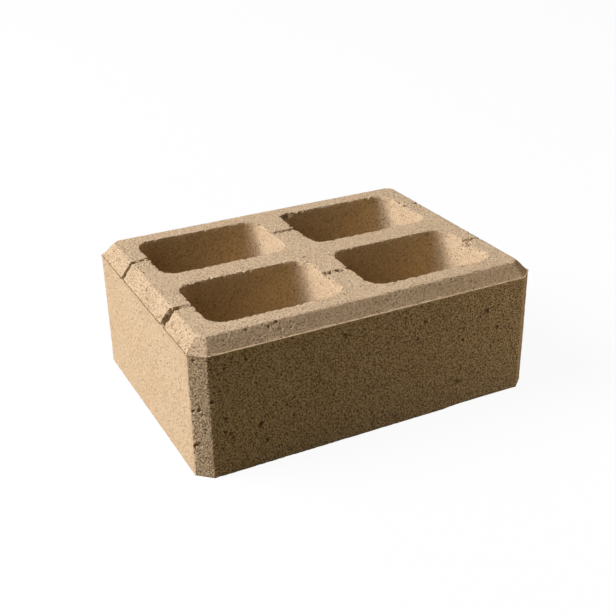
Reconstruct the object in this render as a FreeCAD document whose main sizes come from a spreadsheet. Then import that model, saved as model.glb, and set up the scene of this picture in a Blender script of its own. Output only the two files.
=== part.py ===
import FreeCAD, Part
import math
import os

import Sketcher

# Hollow concrete block for building fence pillars: one casting, made upside up in a steel mould.
# Its outline is a rectangle with cut corners. The top edge is bevelled all round, and four tapered
# cells with rounded corners go right through. Two bars hold the mould's cores, and each leaves a
# shallow mark across the end walls and the cross web, over the middle of a row of cells.
# Millimetres, +Z up. The origin is the middle of the bottom face, and the long sides run along X.

NODE = "pillar_block"

# (alias, value, what it is)
SIZES = [
    ("block_length", 395.0, "overall size along X"),
    ("block_width", 295.0, "overall size along Y"),
    ("block_height", 150.0, "overall size along Z"),
    ("corner_cut_long", 16.0, "how much each upright corner takes off a long side"),
    ("corner_cut_short", 14.0, "how much each upright corner takes off a short side"),
    ("bevel_size", 14.0, "45 degree bevel round the top edge"),
    ("side_wall", 34.0, "wall along a long side, at the top"),
    ("end_wall", 34.5, "wall along a short side, at the top"),
    ("long_web", 31.0, "web along X between the rows of cells, at the top"),
    ("cross_web", 31.0, "web along Y between the cells of a row, at the top"),
    ("cell_radius", 19.0, "rounding of a cell's upright corners, at the top"),
    ("cell_draft", 1.0, "degrees by which each cell wall leans in towards the bottom"),
    ("mark_width", 5.0, "width of a core bar's mark"),
    ("mark_depth", 3.0, "depth of a core bar's mark, square to the surface it crosses"),
    ("cutter_overrun", 5.0, "how far a cutting outline goes past the faces it opens"),
]

# How far the cell's middle lies from the block's middle, along Y.
CELL_ROW = "(block_width / 2 - side_wall + long_web / 2) / 2"


def formula(text):
    """The text with each alias read from the sheet."""
    for alias, _, _ in SIZES:
        text = text.replace(alias, "sizes." + alias)
    return text


def make_sheet(doc):
    """The driving dimensions, one a row."""
    sheet = doc.addObject("Spreadsheet::Sheet", "sizes")
    for row, (alias, value, meaning) in enumerate(SIZES, start=1):
        sheet.set(f"A{row}", alias)
        sheet.set(f"B{row}", str(value))
        sheet.set(f"C{row}", meaning)
        sheet.setAlias(f"B{row}", alias)
    doc.recompute()
    return sheet


def origin_plane(body, role):
    """The body's own origin plane with that role."""
    return next(item for item in body.Origin.OriginFeatures if item.Role == role)


def new_sketch(body, name, role, lift=None):
    """A sketch on an origin plane, lifted off it along its normal by a formula."""
    sketch = body.newObject("Sketcher::SketchObject", name)
    sketch.AttachmentSupport = [(origin_plane(body, role), "")]
    sketch.MapMode = "FlatFace"
    if lift:
        sketch.setExpression(".AttachmentOffset.Base.z", formula(lift))
    return sketch


def dimension(sketch, name, kind, places, value, text):
    """A sketch dimension that follows a formula of the sheet."""
    index = sketch.addConstraint(Sketcher.Constraint(kind, *places, value))
    sketch.renameConstraint(index, name)
    sketch.setExpression("Constraints." + name, formula(text))


def closed_outline(sketch, corners):
    """Straight lines from corner to corner, joined end to end. Line n starts at corner n."""
    count = len(corners)
    for n in range(count):
        start = FreeCAD.Vector(*corners[n], 0)
        end = FreeCAD.Vector(*corners[(n + 1) % count], 0)
        sketch.addGeometry(Part.LineSegment(start, end), False)
    for n in range(count):
        sketch.addConstraint(Sketcher.Constraint("Coincident", n, 2, (n + 1) % count, 1))


def block_outline(body, sheet):
    """The plan of the block: a rectangle about the origin with its four corners cut."""
    sketch = new_sketch(body, "plan", "XY_Plane")
    half_x, half_y = sheet.block_length / 2, sheet.block_width / 2
    flat_x = half_x - sheet.corner_cut_long
    flat_y = half_y - sheet.corner_cut_short
    closed_outline(
        sketch,
        [
            (-flat_x, -half_y),
            (flat_x, -half_y),
            (half_x, -flat_y),
            (half_x, flat_y),
            (flat_x, half_y),
            (-flat_x, half_y),
            (-half_x, flat_y),
            (-half_x, -flat_y),
        ],
    )
    front, right, back, left = 0, 2, 4, 6
    for line in (front, back):
        sketch.addConstraint(Sketcher.Constraint("Symmetric", line, 1, line, 2, -2))
    for line in (right, left):
        sketch.addConstraint(Sketcher.Constraint("Symmetric", line, 1, line, 2, -1))
    sketch.addConstraint(Sketcher.Constraint("Equal", front, back))
    sketch.addConstraint(Sketcher.Constraint("Equal", right, left))
    dimension(sketch, "front_y", "DistanceY", (front, 1, -1, 1), half_y, "block_width / 2")
    dimension(sketch, "back_y", "DistanceY", (-1, 1, back, 1), half_y, "block_width / 2")
    dimension(sketch, "left_x", "DistanceX", (left, 1, -1, 1), half_x, "block_length / 2")
    dimension(sketch, "right_x", "DistanceX", (-1, 1, right, 1), half_x, "block_length / 2")
    dimension(
        sketch, "front_flat", "DistanceX", (front, 1, front, 2), 2 * flat_x,
        "block_length - 2 * corner_cut_long",
    )
    dimension(
        sketch, "right_flat", "DistanceY", (right, 1, right, 2), 2 * flat_y,
        "block_width - 2 * corner_cut_short",
    )
    return sketch


def pad_block(body, sheet):
    """The plan raised to the full height."""
    pad = body.newObject("PartDesign::Pad", "blank")
    pad.Profile = block_outline(body, sheet)
    pad.setExpression("Length", formula("block_height"))
    return pad


def bevel_top(body, sheet):
    """The 45 degree bevel on every edge of the blank's top face."""
    blank, top = body.Tip, sheet.block_height
    names = [
        f"Edge{n}"
        for n, edge in enumerate(blank.Shape.Edges, start=1)
        if all(abs(vertex.Point.z - top) < 1e-6 for vertex in edge.Vertexes)
    ]
    bevel = body.newObject("PartDesign::Chamfer", "top_bevel")
    bevel.Base = (blank, names)
    bevel.setExpression("Size", formula("bevel_size"))
    return bevel


def cell_outline(body, sheet):
    """One cell at the top face: the one towards +X and +Y. Its upright corners are rounded."""
    sketch = new_sketch(body, "cell_plan", "XY_Plane", "block_height")
    x0, x1 = sheet.cross_web / 2, sheet.block_length / 2 - sheet.end_wall
    y0, y1 = sheet.long_web / 2, sheet.block_width / 2 - sheet.side_wall
    radius = sheet.cell_radius
    straight = [
        ((x0 + radius, y0), (x1 - radius, y0)),
        ((x1, y0 + radius), (x1, y1 - radius)),
        ((x1 - radius, y1), (x0 + radius, y1)),
        ((x0, y1 - radius), (x0, y0 + radius)),
    ]
    for start, end in straight:
        line = Part.LineSegment(FreeCAD.Vector(*start, 0), FreeCAD.Vector(*end, 0))
        sketch.addGeometry(line, False)
    centres = [
        (x1 - radius, y0 + radius),
        (x1 - radius, y1 - radius),
        (x0 + radius, y1 - radius),
        (x0 + radius, y0 + radius),
    ]
    for n, centre in enumerate(centres):
        circle = Part.Circle(FreeCAD.Vector(*centre, 0), FreeCAD.Vector(0, 0, 1), radius)
        begin = math.radians(90 * (n - 1))
        sketch.addGeometry(Part.ArcOfCircle(circle, begin, begin + math.pi / 2), False)
    for n in range(4):
        arc = 4 + n
        sketch.addConstraint(Sketcher.Constraint("Tangent", n, 2, arc, 1))
        sketch.addConstraint(Sketcher.Constraint("Tangent", arc, 2, (n + 1) % 4, 1))
    for n in range(3):
        sketch.addConstraint(Sketcher.Constraint("Equal", 4 + n, 5 + n))
    for line, kind in enumerate(("Horizontal", "Vertical", "Horizontal", "Vertical")):
        sketch.addConstraint(Sketcher.Constraint(kind, line))
    dimension(sketch, "near_y", "DistanceY", (-1, 1, 0, 1), y0, "long_web / 2")
    dimension(sketch, "far_x", "DistanceX", (-1, 1, 1, 1), x1, "block_length / 2 - end_wall")
    dimension(sketch, "far_y", "DistanceY", (-1, 1, 2, 1), y1, "block_width / 2 - side_wall")
    dimension(sketch, "near_x", "DistanceX", (-1, 1, 3, 1), x0, "cross_web / 2")
    dimension(sketch, "corner", "Radius", (4,), radius, "cell_radius")
    return sketch


def mark_outline(body, sheet):
    """What a core bar presses out, seen along Y: a strip that follows the top and its bevels."""
    sketch = new_sketch(body, "mark_section", "XZ_Plane", CELL_ROW)
    top, over = sheet.block_height, sheet.cutter_overrun
    outer = sheet.block_length / 2 + over
    floor = top - sheet.mark_depth
    bend = sheet.block_length / 2 - sheet.bevel_size - sheet.mark_depth * (math.sqrt(2) - 1)
    low = floor - (outer - bend)
    closed_outline(
        sketch,
        [
            (-outer, top + over),
            (-outer, low),
            (-bend, floor),
            (bend, floor),
            (outer, low),
            (outer, top + over),
        ],
    )
    lid, left, slope = 5, 0, 1
    for first, second in ((0, 5), (1, 4), (2, 3)):
        sketch.addConstraint(Sketcher.Constraint("Symmetric", first, 1, second, 1, -2))
    sketch.addConstraint(Sketcher.Constraint("Vertical", left))
    dimension(
        sketch, "lid_height", "DistanceY", (-1, 1, lid, 1), top + over,
        "block_height + cutter_overrun",
    )
    dimension(
        sketch, "lid_width", "DistanceX", (0, 1, lid, 1), 2 * outer,
        "block_length + 2 * cutter_overrun",
    )
    dimension(
        sketch, "floor_height", "DistanceY", (-1, 1, 2, 1), floor, "block_height - mark_depth"
    )
    dimension(
        sketch, "floor_width", "DistanceX", (2, 1, 3, 1), 2 * bend,
        "block_length - 2 * (bevel_size + mark_depth * (sqrt(2) - 1))",
    )
    dimension(
        sketch, "slope_drop", "DistanceY", (slope, 1, slope, 2), floor - low,
        "cutter_overrun + bevel_size + mark_depth * (sqrt(2) - 1)",
    )
    return sketch


def cut_cells(body, sheet):
    """One tapered cell, cut from the top right through, and its three mirror images."""
    cell = body.newObject("PartDesign::Pocket", "cell")
    cell.Profile = cell_outline(body, sheet)
    cell.setExpression("Length", formula("block_height + cutter_overrun"))
    cell.setExpression("TaperAngle", formula("-cell_draft"))
    four = body.newObject("PartDesign::MultiTransform", "four_cells")
    four.Originals = [cell]
    mirrors = []
    for name, role in (("cells_across_x", "YZ_Plane"), ("cells_across_y", "XZ_Plane")):
        mirror = body.newObject("PartDesign::Mirrored", name)
        mirror.MirrorPlane = (origin_plane(body, role), [""])
        mirrors.append(mirror)
    four.Transformations = mirrors
    return four


def cut_marks(body, sheet):
    """The mark of the bar over one row of cells, and its mirror image over the other row."""
    mark = body.newObject("PartDesign::Pocket", "bar_mark")
    mark.Profile = mark_outline(body, sheet)
    mark.Midplane = True
    mark.setExpression("Length", formula("mark_width"))
    pair = body.newObject("PartDesign::Mirrored", "bar_marks")
    pair.Originals = [mark]
    pair.MirrorPlane = (origin_plane(body, "XZ_Plane"), [""])
    return pair


def check(doc):
    """Stops the build if anything in the document failed or the block isn't one sound solid."""
    for item in doc.Objects:
        if {"Invalid", "Error"} & set(item.State):
            raise RuntimeError(f"{item.Name} failed: {item.State}")
    for item in doc.Objects:
        if item.TypeId == "PartDesign::Body":
            shape = item.Shape
            if shape.isNull() or not shape.isValid() or len(shape.Solids) != 1:
                raise RuntimeError(f"{item.Label} is not one valid solid")


def main():
    doc = FreeCAD.newDocument("pillar_block")
    sheet = make_sheet(doc)
    body = doc.addObject("PartDesign::Body", NODE)
    body.Label = NODE
    volume = math.inf
    for make in (pad_block, bevel_top, cut_cells, cut_marks):
        body.Tip = make(body, sheet)
        doc.recompute()
        if body.Shape.Volume >= volume:
            raise RuntimeError(f"{body.Tip.Name} takes nothing away")
        volume = body.Shape.Volume
    check(doc)
    os.makedirs("parts", exist_ok=True)
    body.Shape.exportStep(os.path.join("parts", body.Label + ".step"))
    box = body.Shape.BoundBox
    print(f"{body.Label}: {box.XLength:.2f} x {box.YLength:.2f} x {box.ZLength:.2f} mm, "
          f"{volume / 1e6:.4f} litres, {len(body.Shape.Faces)} faces")


main()
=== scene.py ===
import math

import bmesh
import bpy
import numpy as np
from mathutils import Matrix, Vector


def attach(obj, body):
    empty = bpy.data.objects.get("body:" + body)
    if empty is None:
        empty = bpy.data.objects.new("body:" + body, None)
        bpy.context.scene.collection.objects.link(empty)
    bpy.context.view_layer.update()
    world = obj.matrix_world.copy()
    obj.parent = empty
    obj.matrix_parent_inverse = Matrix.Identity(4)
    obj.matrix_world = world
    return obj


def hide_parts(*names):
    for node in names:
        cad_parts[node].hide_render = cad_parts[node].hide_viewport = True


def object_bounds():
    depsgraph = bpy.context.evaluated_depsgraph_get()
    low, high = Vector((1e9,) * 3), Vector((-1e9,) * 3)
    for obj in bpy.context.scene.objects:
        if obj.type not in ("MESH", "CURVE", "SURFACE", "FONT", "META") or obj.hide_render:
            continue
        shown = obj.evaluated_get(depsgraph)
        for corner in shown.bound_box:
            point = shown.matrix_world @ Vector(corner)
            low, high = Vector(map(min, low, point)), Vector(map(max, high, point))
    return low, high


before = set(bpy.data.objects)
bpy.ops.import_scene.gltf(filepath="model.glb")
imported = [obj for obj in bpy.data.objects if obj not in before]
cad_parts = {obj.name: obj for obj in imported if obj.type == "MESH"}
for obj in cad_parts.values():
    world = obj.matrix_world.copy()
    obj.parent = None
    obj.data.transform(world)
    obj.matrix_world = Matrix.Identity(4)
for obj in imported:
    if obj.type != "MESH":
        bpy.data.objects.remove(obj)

# The pillar block is one casting, so one mesh stands for it: a plain solid of the block's shape is
# remeshed finely, its surface is pressed and chipped inwards, and the mesh is thinned out again.
# Sizes and places below are in millimetres; meshes are in metres.

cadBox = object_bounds()
mm = 0.001
blockSize = [(high - low) / mm for low, high in zip(*cadBox)]
halfX, halfY, topZ = blockSize[0] / 2, blockSize[1] / 2, blockSize[2]

shape = {
    "cutLong": 16.0,  # upright corner cut, along X
    "cutShort": 14.0,  # and along Y
    "bevel": 14.0,
    "sideWall": 34.0,
    "endWall": 34.5,
    "web": 31.0,
    "cellRadius": 19.0,
    "cellDraft": 1.0,  # degrees
    "arcSteps": 8,  # along each rounded corner
    "gridStep": 1.0,  # of the fine mesh
    "triangles": 192000,  # left after thinning
    "sharpAngle": 42,  # degrees; edges sharper than this aren't shaded smooth
}
cellX = (shape["web"] / 2, halfX - shape["endWall"])
cellY = (shape["web"] / 2, halfY - shape["sideWall"])
footZ = topZ - shape["bevel"]


def octagon(inset):
    # the block's outline drawn in by that much, square to every side
    x, y = halfX - inset, halfY - inset
    nx, ny = shape["cutShort"], shape["cutLong"]
    length = math.hypot(nx, ny)
    nx, ny = nx / length, ny / length
    reach = nx * halfX + ny * (halfY - shape["cutShort"]) - inset
    a, b = (reach - nx * x) / ny, (reach - ny * y) / nx
    quarter = [(x, a), (b, y)]
    ring = []
    for sx, sy in ((1, 1), (-1, 1), (-1, -1), (1, -1)):
        corner = [(sx * px, sy * py) for px, py in quarter]
        ring += corner if sx * sy > 0 else corner[::-1]
    return ring


def roundedCell(z, sx, sy):
    # one cell's outline at a height, counter-clockwise
    drawIn = (topZ - z) * math.tan(math.radians(shape["cellDraft"]))
    x0, x1 = cellX[0] + drawIn, cellX[1] - drawIn
    y0, y1 = cellY[0] + drawIn, cellY[1] - drawIn
    radius = shape["cellRadius"] - drawIn
    ring = []
    for n, (cx, cy) in enumerate(((x1, y1), (x0, y1), (x0, y0), (x1, y0))):
        cx -= math.copysign(radius, cx - (x0 + x1) / 2)
        cy -= math.copysign(radius, cy - (y0 + y1) / 2)
        for step in range(shape["arcSteps"] + 1):
            angle = math.radians(90 * n + 90 * step / shape["arcSteps"])
            ring.append((cx + radius * math.cos(angle), cy + radius * math.sin(angle)))
    ring = [(sx * x, sy * y) for x, y in ring]
    return ring if sx * sy > 0 else ring[::-1]


def stack(bm, rings):
    # a closed solid through rings of (outline, height)
    loops = [[bm.verts.new((x * mm, y * mm, z * mm)) for x, y in ring] for ring, z in rings]
    for low, high in zip(loops, loops[1:]):
        for n in range(len(low)):
            m = (n + 1) % len(low)
            bm.faces.new((low[n], low[m], high[m], high[n]))
    bm.faces.new(loops[0][::-1])
    bm.faces.new(loops[-1])


def meshObject(name, fill):
    bm = bmesh.new()
    fill(bm)
    bm.normal_update()
    mesh = bpy.data.meshes.new(name)
    bm.to_mesh(mesh)
    bm.free()
    piece = bpy.data.objects.new(name, mesh)
    bpy.context.scene.collection.objects.link(piece)
    return piece


def bakeModifiers(piece):
    graph = bpy.context.evaluated_depsgraph_get()
    mesh = bpy.data.meshes.new_from_object(piece.evaluated_get(graph))
    piece.modifiers.clear()
    old, piece.data = piece.data, mesh
    bpy.data.meshes.remove(old)


def plainBlock():
    def outer(bm):
        stack(bm, [(octagon(0), 0), (octagon(0), footZ), (octagon(shape["bevel"]), topZ)])

    def cells(bm):
        over = 10  # the cores reach past the block's top and bottom
        for sx, sy in ((1, 1), (-1, 1), (-1, -1), (1, -1)):
            stack(bm, [(roundedCell(z, sx, sy), z) for z in (-over, topZ + over)])

    block = meshObject("concreteBlock", outer)
    cutter = meshObject("cellCores", cells)
    cut = block.modifiers.new("cells", "BOOLEAN")
    cut.operation, cut.solver, cut.object = "DIFFERENCE", "EXACT", cutter
    fine = block.modifiers.new("fine", "REMESH")
    fine.mode, fine.voxel_size = "VOXEL", shape["gridStep"] * mm
    bakeModifiers(block)
    bpy.data.objects.remove(cutter)
    return block


def scramble(ix, iy, iz, seed):
    # a number from 0 to 1 for each whole-numbered place
    n = (ix * 73856093) ^ (iy * 19349663) ^ (iz * 83492791) ^ (seed * 2654435761)
    n = (n & 0xFFFFFFFF).astype(np.uint64)
    for _ in range(2):
        n = ((n ^ (n >> np.uint64(16))) * np.uint64(0x45D9F3B)) & np.uint64(0xFFFFFFFF)
    n = n ^ (n >> np.uint64(16))
    return n.astype(np.float64) / 0xFFFFFFFF


def softNoise(points, size, seed):
    # smooth noise from -1 to 1, with lumps about that many millimetres wide
    scaled = points / size
    base = np.floor(scaled).astype(np.int64)
    part = scaled - base
    part = part * part * (3 - 2 * part)
    total = np.zeros(len(points))
    for corner in range(8):
        step = [(corner >> axis) & 1 for axis in range(3)]
        weight = np.ones(len(points))
        for axis in range(3):
            weight *= part[:, axis] if step[axis] else 1 - part[:, axis]
        total += weight * scramble(*(base[:, axis] + step[axis] for axis in range(3)), seed)
    return total * 2 - 1


def roughNoise(points, size, seed, octaves=3):
    total, weight = 0, 1
    for n in range(octaves):
        total = total + weight * softNoise(points, size / 2 ** n, seed + n)
        weight *= 0.55
    return total


def voids(points, normals, size, share, radius, seed, grow):
    # how far round voids, one in some cells of a grid, reach in below each point of the surface
    base = np.floor(points / size).astype(np.int64)
    depth = np.zeros(len(points))
    smallest, largest = radius
    for dx in (-1, 0, 1):
        for dy in (-1, 0, 1):
            for dz in (-1, 0, 1):
                cell = [base[:, axis] + step for axis, step in enumerate((dx, dy, dz))]
                present = scramble(*cell, seed) < share
                centre = np.stack(
                    [(cell[axis] + scramble(*cell, seed + 1 + axis)) * size for axis in range(3)], 1
                )
                ball = (smallest + (largest - smallest) * scramble(*cell, seed + 5) ** 2) * grow
                bite = biteDepth(points, normals, centre, ball)
                depth = np.maximum(depth, np.where(present, bite, 0))
    return depth


def biteDepth(points, normals, centre, ball):
    # how far in along its normal a point has to go to leave a ball
    away = points - centre
    along = (away * normals).sum(1)
    inside = ball ** 2 - (away ** 2).sum(1) + along ** 2
    reach = along + np.sqrt(np.maximum(inside, 0))
    return np.where((inside > 0) & ((away ** 2).sum(1) < ball ** 2), reach, 0)


def fade(value, full, none):
    # 1 up to full, falling smoothly to 0 at none
    t = np.clip((value - none) / (full - none), 0, 1)
    return t * t * (3 - 2 * t)


wear = {
    "skin": 0.55,  # how far the walls lie inside the fin's crest
    "wave": 0.25,  # long unevenness
    "grain": 0.2,  # unevenness of the grain
    "least": 0.02,  # every point moves in at least this far
    "band": 2.6,  # how far from an edge it crumbles
    "sureBand": 0.4,  # and how far from it the loss is whole
    "bites": 1.9,  # how uneven the loss is along an edge
    "rimLoss": 1.25,  # how much the cells' rims lose
    "browLoss": 0.14,  # the bevel's top edge
    "uprightLoss": 0.12,
    "baseLoss": 0.2,
    "wornBase": 1.7,  # how much the front bottom edge is worn
    "wornAlong": (86, 94, 176, 184),  # X where that wear starts, is whole, still is, and ends
}

# the fin and the flat strip at the bevel's foot, where the mould's pressing shoe met its walls
foot = {
    "out": 0.45,  # how far the fin stands out of the walls
    "bentOut": 0.35,  # part of that left where it is bent up
    "up": 0.45,  # how far it then stands up on the ends
    "rise": 0.1,  # how far it stands up elsewhere
    "bends": (0.75, 0.95),  # noise at which it is straight, and bent
    "strip": (2.2, 1.3),  # the flat strip's width on the long sides and the ends
    "groove": 0.8,  # how deep the groove behind the fin is on the ends
    # how much painted shade darkens the groove behind the fin on the ends
    "groovePaintedShade": 0.8,
}

# noise that shapes the wear: size of its lumps in millimetres, and seed
lumps = {
    "band": (12, 11),
    "bites": (3.4, 21),
    "stray": (2.2, 41),
    "grain": (2.2, 81),
    "wave": (60, 91),
    "finBends": (9, 101),
}

# open voids: grid they lie in, share of its cells that hold one, smallest and largest radius, seed
pores = {
    "small": (5.5, 0.20, (0.7, 1.9), 51),
    "large": (15.0, 0.16, (1.3, 2.7), 76),
    "besideMarks": (3.6, 0.45, (0.9, 2.2), 131),
    "besideRims": (4.2, 0.3, (0.8, 2.0), 171),
}
strayBy = 0.8  # how far the pores' outlines stray from round

# how open the surface's grain is
texture = {"longSide": 1.0, "end": 0.2, "top": 0.45, "bevel": 0.35, "cell": 0.25}

# where the mould's core bars crossed: along X from, to, and Y there; width and depth on the flat top
# and on the bevel; share of it that loose mix filled up
barMarks = {
    "leftFront": {
        "x": (-halfX, -cellX[1]), "y": (-64.6, -63.0),
        "top": (5.4, 4.8), "bevel": (10.0, 7.4), "filled": 0.38,
    },
    "leftBack": {
        "x": (-halfX, -cellX[1]), "y": (60.5, 67.5),
        "top": (4.8, 4.2), "bevel": (5.0, 4.4), "filled": 0.38,
    },
    "webFront": {
        "x": (-cellX[0], cellX[0]), "y": (-60.5, -61.5),
        "top": (5.6, 4.4), "bevel": (0, 0), "filled": 0.42,
    },
    "webBack": {
        "x": (-cellX[0], cellX[0]), "y": (67.5, 66.5),
        "top": (4.8, 3.8), "bevel": (0, 0), "filled": 0.38,
    },
    "rightFront": {
        "x": (cellX[1], halfX), "y": (-59.5, -60.5),
        "top": (5.0, 3.8), "bevel": (4.6, 3.0), "filled": 0.45,
    },
    "rightBack": {
        "x": (cellX[1], halfX), "y": (69.5, 66.0),
        "top": (4.6, 3.6), "bevel": (4.0, 2.6), "filled": 0.45,
    },
}

# how the marks are finished
markEdges = {
    "wander": 0.8,  # how far a mark strays sideways
    "bends": (5, 2.2),  # the lengths of its bends
    "uneven": (0.3, 0.8),  # how its width varies, as a share and in millimetres
    "soft": (0.3, 0.6),  # how far its sides slope, inside and outside
    "shallower": 0.5,  # part of its depth that it loses down the bevel
    "opener": 0.8,  # part of the filling that is missing on the bevel
    "leftOpen": 0.12,  # part of the depth left where loose mix filled it
    "crumble": 4,  # how far beside it the mix crumbled
}

# chips: centre and radius of each ball that bites the surface
chips = [
    ((29.5, 102.5, 152), 13.4),  # the broken corner of a cell
    ((18, 109, 150), 2.6),
    ((38.5, 116, 150.5), 2.2),
    ((163.8, -67, 149.5), 4.4),  # beside the bars' marks
    ((165, -60, 150), 3.2),
    ((171, -61, 150.8), 2.4),
    ((164, 78, 149.5), 2.2),
    ((169, 67, 150.5), 2.2),
    ((15.5, 70, 149), 2.8),
    ((14.5, 64, 150), 2.2),
    ((-15.5, -62.5, 149.5), 3.2),
    ((-14.5, -68.0, 150.2), 2.4),
    ((-15.8, -74.0, 148.5), 2.2),
    ((-15.5, -81.5, 148.5), 2.6),
    ((2.8, -60.7, 150.6), 3.4),
    ((-9.5, -61.8, 150.6), 2.6),
    ((-14.4, -27.2, 150), 2.0),  # cell rims
    ((-13, -12.6, 150.5), 1.8),
    ((32.5, -16.5, 149.5), 2.0),
    ((-184, -131, 150), 2.4),  # the near corner of the bevel
    ((-187, -127, 149), 2.0),
    ((-181, -134, 150), 2.2),
    ((-186, -136, 148), 2.6),
    ((-191, -133, 145), 2.2),
    ((-192, -126, 143), 1.8),
    ((-190, -119, 145), 1.8),
    ((-190.5, -80.6, 143), 2.0),  # bevels
    ((-195, -108.2, 138.5), 2.2),
    ((-187.4, 0.9, 146), 1.7),
    ((-192.7, -52.2, 140.8), 1.6),
    ((-104, -134.6, 148.8), 1.8),
    ((-107, -135.8, 148), 1.5),
    ((-113, -136.6, 147.1), 1.8),
    ((-102, -140, 143.7), 1.5),
    ((-136, -135, 148.6), 1.6),
    ((-196, -134.6, 35), 1.9),  # the near upright cut
    ((-194, -136.4, 37), 2.2),
    ((-192, -138.3, 39), 2.2),
    ((-191, -139.2, 36), 1.8),
    ((-195.1, -135.6, 74.8), 1.9),
    ((-190.4, -139.7, 76.8), 1.9),
    ((-131.6, -147.2, 46), 2.4),  # the long side
    ((-129.5, -147.2, 49), 2.2),
    ((-161.9, -147.2, 46.4), 2.2),
    ((-160, -147.2, 41.2), 2.0),
    ((-166.6, -147.2, 65), 2.0),
    ((-179.7, -147.2, 86.7), 2.6),
    ((-124, -147.2, 27), 2.0),
    ((-35.5, -147.2, 121), 2.2),
    ((57, -147.2, 113), 2.0),
    ((134.4, -147.2, 107.8), 2.6),
    ((100.7, -147.2, 30.6), 2.6),
]


def edgeDistances(p):
    # how far outside the outline and the cells' outlines each point is, and its distances to the
    # cells' rims, the bevel's top edge, the upright edges and the bottom edge
    x, y, z = np.abs(p[:, 0]), np.abs(p[:, 1]), p[:, 2]
    length = math.hypot(shape["cutShort"], shape["cutLong"])
    nx, ny = shape["cutShort"] / length, shape["cutLong"] / length
    reach = nx * halfX + ny * (halfY - shape["cutShort"])
    outside = np.maximum(np.maximum(x - halfX, y - halfY), nx * x + ny * y - reach)
    drawIn = (topZ - z) * math.tan(math.radians(shape["cellDraft"]))
    radius = shape["cellRadius"] - drawIn
    qx = np.abs(x - sum(cellX) / 2) - (cellX[1] - cellX[0]) / 2 + drawIn + radius
    qy = np.abs(y - sum(cellY) / 2) - (cellY[1] - cellY[0]) / 2 + drawIn + radius
    inCell = np.hypot(np.maximum(qx, 0), np.maximum(qy, 0)) + np.minimum(np.maximum(qx, qy), 0)
    inCell = inCell - radius
    upright = np.minimum(
        np.hypot(x - halfX, y - halfY + shape["cutShort"]),
        np.hypot(x - halfX + shape["cutLong"], y - halfY),
    )
    return {
        "outside": outside,
        "inCell": inCell,
        "rim": np.hypot(inCell, topZ - z),
        "lowRim": np.hypot(inCell, z),
        "brow": np.hypot(outside + shape["bevel"], topZ - z),
        "upright": np.where(z < footZ, upright, 99),
        "base": np.hypot(outside, z),
    }


def markDepth(p, edges):
    # how deep the core bars' marks are at each point, and where the mix beside them crumbled
    depth = np.zeros(len(p))
    beside = np.zeros(len(p))
    onBevel = fade(edges["outside"], -shape["bevel"] + 1.0, -shape["bevel"] - 1.0)
    below = topZ - p[:, 2]
    inCell = (edges["inCell"] < 0.7) & (below > 0.6)
    longBend, shortBend = markEdges["bends"]
    share, extra = markEdges["uneven"]
    softIn, softOut = markEdges["soft"]
    onlyX = p * (1, 0, 0)
    for n, mark in enumerate(barMarks.values()):
        (x0, x1), (y0, y1) = mark["x"], mark["y"]
        (topWide, topDeep), (bevelWide, bevelDeep) = mark["top"], mark["bevel"]
        t = np.clip((p[:, 0] - x0) / (x1 - x0), 0, 1)
        wander = markEdges["wander"] * softNoise(onlyX, longBend, 300 + n)
        wander = wander + markEdges["wander"] * softNoise(onlyX, shortBend, 320 + n)
        across = np.abs(p[:, 1] - (y0 + (y1 - y0) * t) - wander * (1 - 0.2 * onBevel))
        width = topWide + (bevelWide - topWide) * onBevel
        width = width * (1 + share * softNoise(p, 3.0, 340 + n)) + extra * softNoise(p, 1.8, 350 + n)
        slot = fade(across, width / 2 - softIn, width / 2 + softOut)
        full = topDeep + (bevelDeep - topDeep) * onBevel
        full = np.where(inCell, np.maximum(full - below, 0), full)
        full = full * (1 - markEdges["shallower"] * fade(below, shape["bevel"], 5))
        loose = softNoise(p, 3.0, 360 + n) * 0.5 + 0.5
        filled = mark["filled"] * (1 - markEdges["opener"] * onBevel)
        leftOpen = markEdges["leftOpen"]
        clear = leftOpen + (1 - leftOpen) * fade(loose, filled + 0.1, filled - 0.1)
        near = (p[:, 0] > x0 - 2) & (p[:, 0] < x1 + 2) & (p[:, 2] > footZ - 1.5)
        depth = np.maximum(depth, np.where(near, slot * clear * full, 0))
        crumbly = fade(across, width / 2, width / 2 + markEdges["crumble"])
        beside = np.maximum(beside, np.where(near & (below < 13), crumbly, 0))
    return depth, beside


def grainOpenness(edges, normals, z):
    # how open the grain is at each point, from 0 to 1; the upright cuts lie between side and end
    outer = edges["outside"] > -1.2
    lengthwise = fade(np.abs(normals[:, 1]), 0.9, 0.55)
    wall = texture["end"] + (texture["longSide"] - texture["end"]) * lengthwise
    onTop = np.where(edges["outside"] > -shape["bevel"] + 0.5, texture["bevel"], texture["top"])
    inside = np.where((edges["inCell"] < 1.2) & (z < topZ - 1), texture["cell"], onTop)
    return np.where(outer & (z < footZ - 1), wall, inside)


def pointValues(points, name):
    values = np.empty(len(points) * 3, np.float32)
    points.foreach_get(name, values)
    return values.reshape(-1, 3).astype(np.float64)


def setPlaces(mesh, places):
    # writes the points' places, in millimetres, kept inside the CAD box
    low, high = (np.array(corner) / mm for corner in cadBox)
    places = np.clip(places, low + 0.01, high - 0.01)
    mesh.vertices.foreach_set("co", (places * mm).astype(np.float32).ravel())


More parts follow.
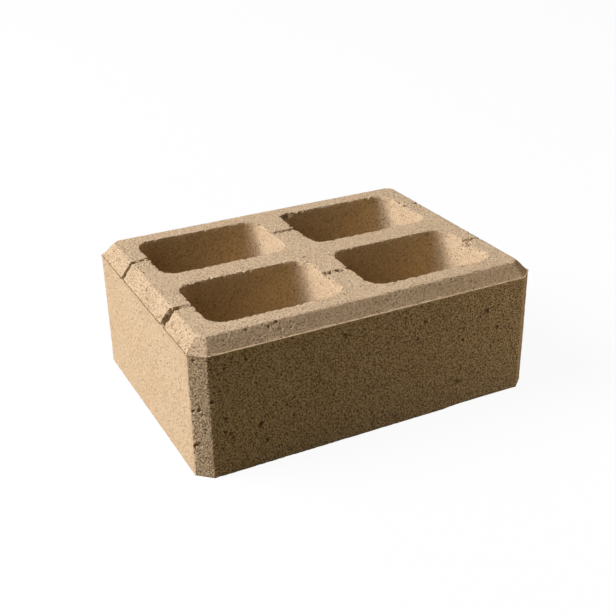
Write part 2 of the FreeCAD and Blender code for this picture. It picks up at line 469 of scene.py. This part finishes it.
def weather(block):
    mesh = block.data
    p = pointValues(mesh.vertices, "co") / mm
    normals = pointValues(mesh.vertex_normals, "vector")
    edges = edgeDistances(p)
    height = p[:, 2]
    aboveFoot = height - footZ
    atEnd = np.abs(normals[:, 0]) > 0.6
    grainOpen = grainOpenness(edges, normals, height)
    # less of it near the ground and deep in the cells
    hidden = fade(height, 3, 8) * 0.6
    hidden = hidden + np.where(edges["inCell"] < 1.6, fade(height, 100, 120) * 0.5, 0)
    detail = 1 - np.clip(hidden, 0, 0.85)

    # edges crumble: a little everywhere near them, and in bites
    band = wear["band"] * (1 + 0.5 * softNoise(p, *lumps["band"]))
    ragged = np.clip(wear["bites"] * roughNoise(p, *lumps["bites"], 3) - 0.05, 0, 3)
    nearRim = fade(edges["rim"], wear["sureBand"], band)
    nearBrow = fade(edges["brow"], wear["sureBand"], band)
    nearUpright = fade(edges["upright"], wear["sureBand"], band)
    nearBase = fade(np.minimum(edges["base"], edges["lowRim"]), wear["sureBand"], band)
    loss = ragged * (
        wear["rimLoss"] * nearRim
        + wear["browLoss"] * nearBrow
        + wear["uprightLoss"] * nearUpright
        + wear["baseLoss"] * nearBase
    )
    starts, whole, stays, ends = wear["wornAlong"]
    atFront = (p[:, 1] < -halfY + 5) & (edges["base"] < 5)
    along = fade(p[:, 0], whole, starts) * fade(p[:, 0], stays, ends)
    loss = loss + np.where(atFront, wear["wornBase"] * nearBase * along, 0)

    # open voids, larger and closer together near the rims and beside the bars' marks
    marks, beside = markDepth(p, edges)
    edgy = np.clip(nearRim + 0.6 * nearBrow + nearBase, 0, 1)
    straySize, straySeed = lumps["stray"]
    stray = [softNoise(p, straySize, straySeed + axis) for axis in range(3)]
    warped = p + strayBy * np.stack(stray, 1)
    grow = (0.55 + 0.45 * grainOpen + 0.4 * edgy) * detail
    growth = {
        "small": grow,
        "large": grow,
        "besideMarks": beside,
        "besideRims": fade(edges["rim"], 1, 6),
    }
    holes = np.zeros(len(p))
    for name, settings in pores.items():
        holes = np.maximum(holes, voids(warped, normals, *settings, growth[name]))
    for centre, ball in chips:
        holes = np.maximum(holes, biteDepth(warped, normals, np.array(centre, float), ball))

    # the skin, and how the surface waves
    grain = wear["grain"] * roughNoise(p, *lumps["grain"], 2) * detail * (0.5 + 0.7 * grainOpen)
    wave = wear["wave"] * (0.5 + 0.5 * roughNoise(p, *lumps["wave"], 2)) * fade(height, 6, 2)
    skin = wear["skin"] * fade(edges["outside"], -1.0, -3.0) * (aboveFoot < 0.3)
    inward = skin + wave + grain + loss + holes

    # the bevel's foot: a thin fin, and behind it a flat strip, with a groove on the ends
    crest = (edges["outside"] > -0.9) & (np.abs(aboveFoot) <= shape["gridStep"] * 0.51)
    onBevel = ~crest & (aboveFoot > 0.3) & (np.abs(edges["outside"] + aboveFoot) < 1.5)
    crack = onBevel * atEnd * fade(aboveFoot, 1.2, 2.0)
    inward = inward + foot["groove"] * crack
    straight = fade(roughNoise(p, *lumps["finBends"], 2), *foot["bends"])
    fin = np.where(crest, foot["out"] * (foot["bentOut"] + (1 - foot["bentOut"]) * straight), 0)
    inward = inward - np.where(crest, fin + wave, 0)
    inward = np.maximum(inward + marks, wear["least"])
    moved = p - normals * inward[:, None]
    crestZ = footZ + foot["rise"] + foot["up"] * atEnd * (1 - straight)
    moved[:, 2] = np.where(crest, crestZ, moved[:, 2])
    strip = np.where(atEnd, foot["strip"][1], foot["strip"][0])
    slope = (shape["bevel"] - aboveFoot) * strip / (shape["bevel"] - strip)
    moved[:, 2] -= onBevel * np.maximum(np.minimum(aboveFoot, slope), 0)

    setPlaces(mesh, moved)
    # what the material needs to know, for each point
    layers = {
        # pit: how deep a point lies in a void, chip, mark or the ends' groove, for painted shade there
        "pit": np.clip((holes + marks) / 3 + foot["groovePaintedShade"] * crack, 0, 1),
        "openGrain": grainOpen,
        # the bevels, for their painted shade
        "bevelShadeMask": 1.0 * ((edges["outside"] > -shape["bevel"] + 0.5) & (aboveFoot > 0.6)),
        # fin: the fin's crest, for its painted highlight
        "fin": 1.0 * (crest & (marks < 0.3)),
    }
    for name, values in layers.items():
        layer = mesh.attributes.new(name, "FLOAT", "POINT")
        layer.data.foreach_set("value", values.astype(np.float32))
    mesh.update()


def thin(block):
    faces = sum(len(face.vertices) - 2 for face in block.data.polygons)
    thinner = block.modifiers.new("thin", "DECIMATE")
    thinner.ratio = min(1, shape["triangles"] / faces)
    thinner.use_collapse_triangulate = True
    bakeModifiers(block)
    setPlaces(block.data, pointValues(block.data.vertices, "co") / mm)
    block.data.shade_smooth()
    block.data.set_sharp_from_angle(angle=math.radians(shape["sharpAngle"]))
    print("block:", faces, "triangles thinned to", len(block.data.polygons))


class Wire:
    # a socket that + - * and the rest add Math nodes to
    def __init__(self, graph, socket):
        self.graph, self.socket = graph, socket

    def math(self, operation, first, second, clamp=False):
        settings = {"operation": operation, "use_clamp": clamp}
        return self.graph.add("ShaderNodeMath", settings, (first, second))

    def __add__(self, other):
        return self.math("ADD", self, other)

    def __radd__(self, other):
        return self.math("ADD", other, self)

    def __sub__(self, other):
        return self.math("SUBTRACT", self, other)

    def __rsub__(self, other):
        return self.math("SUBTRACT", other, self)

    def __mul__(self, other):
        return self.math("MULTIPLY", self, other)

    def __rmul__(self, other):
        return self.math("MULTIPLY", other, self)

    def clamp(self):
        return self.math("ADD", self, 0.0, clamp=True)

    def orMore(self, other):
        return self.math("MAXIMUM", self, other)

    def between(self, low, high):
        # 0 below low, 1 above high, smooth between; low may be the larger
        settings = {"interpolation_type": "SMOOTHSTEP"}
        values = {"Value": self, "From Min": low, "From Max": high, "To Min": 0.0, "To Max": 1.0}
        return self.graph.add("ShaderNodeMapRange", settings, values)


class Graph:
    def __init__(self, material):
        material.use_nodes = True
        self.nodes, self.links = material.node_tree.nodes, material.node_tree.links
        self.nodes.clear()

    def add(self, kind, settings=None, values=None, output=0):
        node = self.nodes.new(kind)
        for name, value in (settings or {}).items():
            setattr(node, name, value)
        pairs = values.items() if isinstance(values, dict) else enumerate(values or ())
        for key, value in pairs:
            if isinstance(value, Wire):
                self.links.new(value.socket, node.inputs[key])
            else:
                node.inputs[key].default_value = value
        return Wire(self, node.outputs[output]) if node.outputs else node

    def attribute(self, name):
        return self.add("ShaderNodeAttribute", {"attribute_name": name}, output="Fac")

    def noise(self, place, size, detail, roughness):
        values = {"Vector": place, "Scale": 1 / size, "Detail": detail, "Roughness": roughness}
        return self.add("ShaderNodeTexNoise", None, values)

    def mix(self, factor, first, second):
        # sockets 0, 6 and 7 are the factor and the two colours, and output 2 is the colour
        return self.add("ShaderNodeMix", {"data_type": "RGBA"}, {0: factor, 6: first, 7: second}, 2)


concrete = {
    "paste": (0.72, 0.533, 0.280, 1),
    # pale sand grains; also the colour of the fin's painted highlight
    "paleSandAndHighlight": (0.88, 0.70, 0.42, 1),
    # dark sand grains; also the colour of the bevels' painted shade
    "darkSandAndShade": (0.245, 0.16, 0.072, 1),
    # the colour painted into pores, pits, marks and the groove as their shade
    "paintedPoreShade": (0.085, 0.05, 0.02, 1),
    "bevelPaintedShade": 0.21,  # painted shade: the bevels are painted darker, to match the front bevel's shading
    "roughness": 0.92,
    "cloudSize": 45,  # millimetres
    "blotchSize": 7,
    "sandSize": 2.2,
    "grainSize": 1.6,
    "finePores": (1.65, 0.635, 0.09, 16),  # size, threshold, how open grain lowers it, sharpness
    "widePores": (4.6, 0.735, 0.05, 22),
    "pitPaintedShade": 0.45,  # painted shade in chips, voids, marks and the ends' groove
    "finPaintedHighlight": 0.7,  # painted highlight: the fin's crest is painted paler
    "grainRelief": 0.75,
    "poreRelief": 1.2,
}


def concreteMaterial():
    material = bpy.data.materials.new("sandyConcrete")
    graph = Graph(material)
    place = graph.add("ShaderNodeTexCoord", output="Object")
    place = graph.add("ShaderNodeVectorMath", {"operation": "SCALE"}, {0: place, "Scale": 1 / mm})
    pit, bevelShadeMask, fin = (graph.attribute(name) for name in ("pit", "bevelShadeMask", "fin"))
    # the mould's smooth end plates leave a closer surface than its long sides and the tamped top
    openGrain = graph.attribute("openGrain")

    clouds = graph.noise(place, concrete["cloudSize"], 3, 0.55)
    blotches = graph.noise(place, concrete["blotchSize"], 3, 0.6)
    grain = graph.noise(place, concrete["grainSize"], 2, 0.6)
    sand = graph.noise(place, concrete["sandSize"], 2.5, 0.75)
    size, threshold, opener, sharpness = concrete["finePores"]
    finePores = graph.noise(place, size, 1.5, 0.6) - threshold + opener * openGrain
    finePores = (finePores * sharpness).clamp()
    size, threshold, opener, sharpness = concrete["widePores"]
    widePores = graph.noise(place, size, 2.5, 0.7) - threshold + opener * openGrain
    widePores = (widePores * sharpness).clamp()
    pinholes = finePores.orMore(widePores)

    colour = graph.mix(clouds.between(0.3, 0.7) * 0.2, concrete["paste"], concrete["paleSandAndHighlight"])
    colour = graph.mix(blotches.between(0.5, 0.8) * 0.25, colour, concrete["darkSandAndShade"])
    colour = graph.mix(sand.between(0.51, 0.62) * (0.3 + 0.7 * openGrain), colour, concrete["paleSandAndHighlight"])
    colour = graph.mix(sand.between(0.48, 0.36) * (0.1 + 0.8 * openGrain), colour, concrete["darkSandAndShade"])
    colour = graph.mix(grain.between(0.5, 0.3) * (0.18 + 0.4 * openGrain), colour, concrete["darkSandAndShade"])
    # painted shade: the bevels are painted darker
    colour = graph.mix(bevelShadeMask * concrete["bevelPaintedShade"], colour, concrete["darkSandAndShade"])
    # painted shade in the pinholes, stronger where the grain is open
    colour = graph.mix(pinholes * (0.45 + 0.45 * openGrain), colour, concrete["paintedPoreShade"])
    # painted shade in the pits, chips, marks and the ends' groove
    colour = graph.mix(pit.between(0.15, 0.9) * concrete["pitPaintedShade"], colour, concrete["paintedPoreShade"])
    # painted highlight along the fin's crest
    colour = graph.mix(fin * concrete["finPaintedHighlight"], colour, concrete["paleSandAndHighlight"])

    relief = grain * concrete["grainRelief"] + (0.4 + 0.8 * openGrain) * sand + blotches * 0.3
    relief = relief - pinholes * concrete["poreRelief"]
    bump = graph.add("ShaderNodeBump", None, {"Strength": 1.0, "Distance": mm, "Height": relief})
    values = {
        "Base Color": colour,
        "Roughness": concrete["roughness"] - 0.08 * sand,
        "Normal": bump,
        "Specular IOR Level": 0.25,
    }
    shader = graph.add("ShaderNodeBsdfPrincipled", None, values)
    graph.add("ShaderNodeOutputMaterial", None, {"Surface": shader})
    return material


studio = {
    "floorSize": 4.0,  # metres from the middle to each side
    "floorShown": 0.94,  # part of the floor's white that doesn't depend on the lamps
    "floorColour": (0.205, 0.164, 0.072, 1),
    "fillColour": (1.0, 0.84, 0.54, 1),
    "fillStrength": 0.02,
    "white": (1, 1, 1, 1),
}

# lamps: direction from the block, how far, how wide, watts, colour
lamps = {
    "softbox": ((-0.724, 0.249, 0.650), 7.0, 5.4, 925.0, (0.857, 0.832, 1.0)),
    "fillCard": ((0.75, -0.75, 0.08), 0.8, 0.4, 1.05, (1.0, 0.83, 0.70)),
}


def seenDirectly(graph):
    # 1 for what the camera sees, straight or in a reflection
    rays = graph.add("ShaderNodeLightPath")
    outputs = rays.socket.node.outputs
    names = ("Is Camera Ray", "Is Glossy Ray", "Is Transmission Ray")
    straight, mirrored, through = (Wire(graph, outputs[name]) for name in names)
    return (straight + mirrored + through).clamp()


def floorAndWorld():
    size = studio["floorSize"]
    corners = [(-size, -size), (size, -size), (size, size), (-size, size)]

    def fill(bm):
        bm.faces.new([bm.verts.new((x, y, 0)) for x, y in corners])

    floor = meshObject("studioFloor", fill)
    material = bpy.data.materials.new("paleFloor")
    graph = Graph(material)
    matt = graph.add("ShaderNodeBsdfDiffuse", None, {"Color": studio["floorColour"]})
    pale = graph.add("ShaderNodeBsdfDiffuse", None, {"Color": studio["white"]})
    glow = graph.add("ShaderNodeEmission", None, {"Color": studio["white"], "Strength": 1.0})
    shown = graph.add("ShaderNodeMixShader", None, {0: studio["floorShown"], 1: pale, 2: glow})
    mixed = graph.add("ShaderNodeMixShader", None, {0: seenDirectly(graph), 1: matt, 2: shown})
    graph.add("ShaderNodeOutputMaterial", None, {"Surface": mixed})
    floor.data.materials.append(material)

    world = bpy.data.worlds.new("studio")
    bpy.context.scene.world = world
    graph = Graph(world)
    soft = {"Color": studio["fillColour"], "Strength": studio["fillStrength"]}
    fill = graph.add("ShaderNodeBackground", None, soft)
    white = graph.add("ShaderNodeBackground", None, {"Color": studio["white"], "Strength": 1.0})
    mixed = graph.add("ShaderNodeMixShader", None, {0: seenDirectly(graph), 1: fill, 2: white})
    graph.add("ShaderNodeOutputWorld", None, {"Surface": mixed})


def hangLamps():
    for name, (direction, away, wide, watts, colour) in lamps.items():
        light = bpy.data.lights.new(name, "AREA")
        light.shape, light.size = "DISK", wide
        light.energy, light.color = watts, colour
        holder = bpy.data.objects.new(name, light)
        toLamp = Vector(direction).normalized()
        holder.location = toLamp * away + Vector((0, 0, topZ / 2 * mm))
        holder.rotation_euler = toLamp.to_track_quat("Z", "Y").to_euler()
        bpy.context.scene.collection.objects.link(holder)


lens = {
    "azimuth": -26.505,  # degrees; 0 looks along +Y
    "elevation": 26.315,
    "roll": -1.0925,
    "distance": 1.1768,  # metres from the point it looks at
    "target": (0.0018, 0.0098, 0.075),
    "focalLength": 60.30,
    "sensor": 36,
}


def camera():
    azimuth, elevation = math.radians(lens["azimuth"]), math.radians(lens["elevation"])
    back = Vector((
        math.sin(azimuth) * math.cos(elevation),
        -math.cos(azimuth) * math.cos(elevation),
        math.sin(elevation),
    ))
    data = bpy.data.cameras.new("camera")
    data.lens, data.sensor_width = lens["focalLength"], lens["sensor"]
    holder = bpy.data.objects.new("camera", data)
    roll = Matrix.Rotation(math.radians(lens["roll"]), 3, "Z")
    turn = back.to_track_quat("Z", "Y").to_matrix() @ roll
    place = Vector(lens["target"]) + back * lens["distance"]
    holder.matrix_world = Matrix.Translation(place) @ turn.to_4x4()
    bpy.context.scene.collection.objects.link(holder)
    bpy.context.scene.camera = holder


block = plainBlock()
print("plain block remeshed:", len(block.data.vertices), "points")
weather(block)
print("surface weathered")
thin(block)
block.data.materials.clear()
block.data.materials.append(concreteMaterial())
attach(block, "root")
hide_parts("pillar_block")
print("concrete on")

floorAndWorld()
hangLamps()
camera()
bpy.context.scene.view_settings.view_transform = "Standard"
print("studio set")

bpy.context.view_layer.update()
